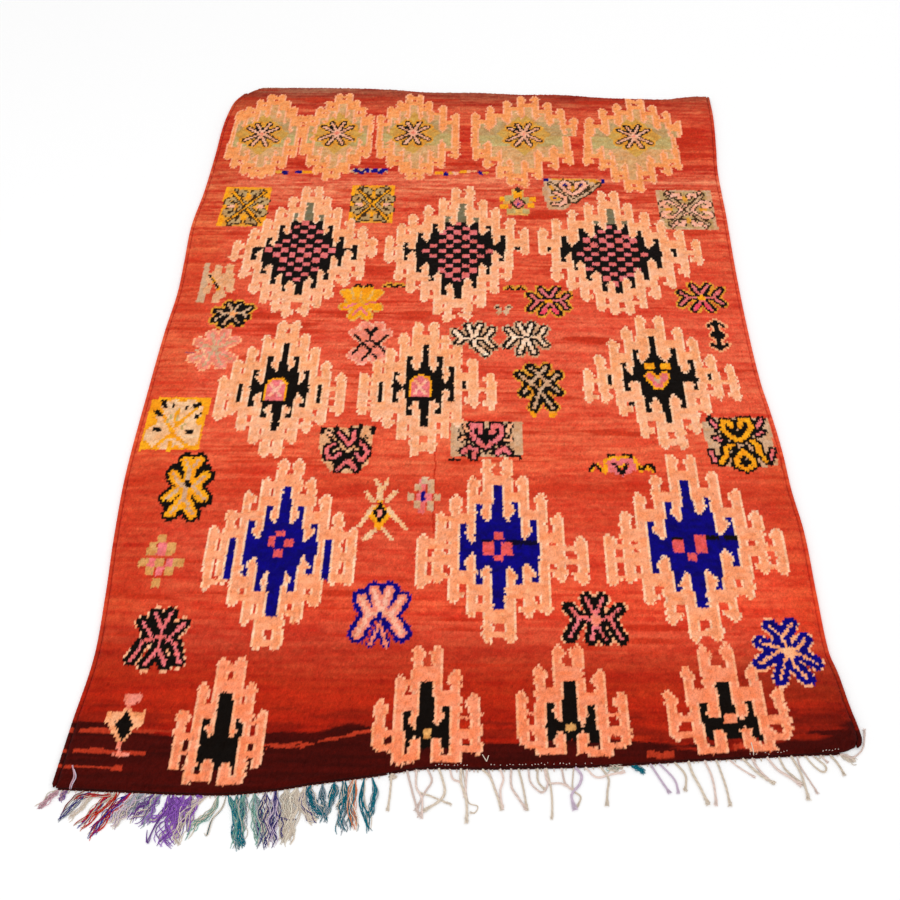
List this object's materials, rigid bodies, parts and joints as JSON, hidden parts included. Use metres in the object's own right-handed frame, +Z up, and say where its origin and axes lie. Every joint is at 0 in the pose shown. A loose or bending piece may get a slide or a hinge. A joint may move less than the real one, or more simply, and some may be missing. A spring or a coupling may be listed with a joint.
{
  "type": "boujad rug",
  "caption": "Flat hand-knotted pile rug with hooked medallions on a coral red ground, overcast side cords, and a fringe of yarn locks and warp ends at one end.",
  "frame": {"origin": "under the middle of the whole rug, fringe included, on the surface it lies on", "axes": "+X across the rug along the wefts, +Y along the warps from the fringed end to the plain end, +Z up out of the pile"},
  "size_m": [1.5866, 2.4896, 0.0121],
  "materials": {
    "wool_pile": "short cut wool pile in coral red with knotted motifs in peach, yellow, grey, navy, black and pink",
    "overcast_wool": "wool yarn wrapped round the side warps, matt",
    "coloured_yarn": "loose plied yarn in purple, red, blue, teal, sage and cream",
    "warp_yarn": "undyed twisted warp yarn, matt"
  },
  "bodies": {
    "root": {"rug_field": "wool_pile", "selvedge_left": "overcast_wool", "selvedge_right": "overcast_wool", "fringe_coloured": "coloured_yarn", "fringe_pale": "warp_yarn"}
  },
  "joints": []
}
